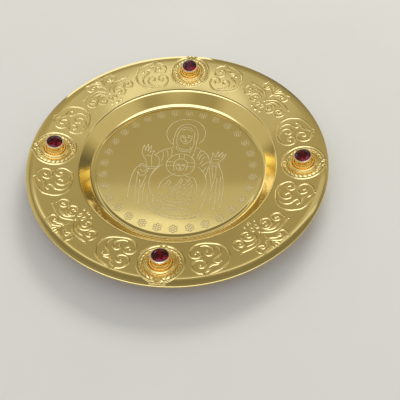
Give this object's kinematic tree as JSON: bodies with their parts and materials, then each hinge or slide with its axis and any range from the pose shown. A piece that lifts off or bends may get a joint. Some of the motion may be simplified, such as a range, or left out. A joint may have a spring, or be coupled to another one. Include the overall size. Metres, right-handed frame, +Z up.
{
  "type": "paten plate",
  "caption": "Small gilt church plate with a shallow round well, a wide embossed rim and red stones in raised settings.",
  "frame": {"origin": "on the table under the middle of the well", "axes": "+Z up, +Y towards the north setting, the setting at the head of the engraved figure; +X to the figure's right-hand side of the page"},
  "size_m": [0.1498, 0.1498, 0.0162],
  "materials": {
    "pale_gold": "polished gilt brass",
    "orange_gold": "polished deep gold plating",
    "bezel_gold": "bright cut gilt brass",
    "red_stone": "polished dark red faceted stone",
    "fastener": "turned brass"
  },
  "bodies": {
    "root": {"dish": "pale_gold", "north_collet": "orange_gold", "north_bead_ring": "orange_gold", "north_bezel": "bezel_gold", "north_stone": "red_stone", "east_collet": "orange_gold", "east_bead_ring": "orange_gold", "east_bezel": "bezel_gold", "east_stone": "red_stone", "south_collet": "orange_gold", "south_bead_ring": "orange_gold", "south_bezel": "bezel_gold", "south_stone": "red_stone", "west_collet": "orange_gold", "west_bead_ring": "orange_gold", "west_bezel": "bezel_gold", "west_stone": "red_stone", "setting_screws": "fastener", "setting_washers": "fastener"}
  },
  "joints": []
}
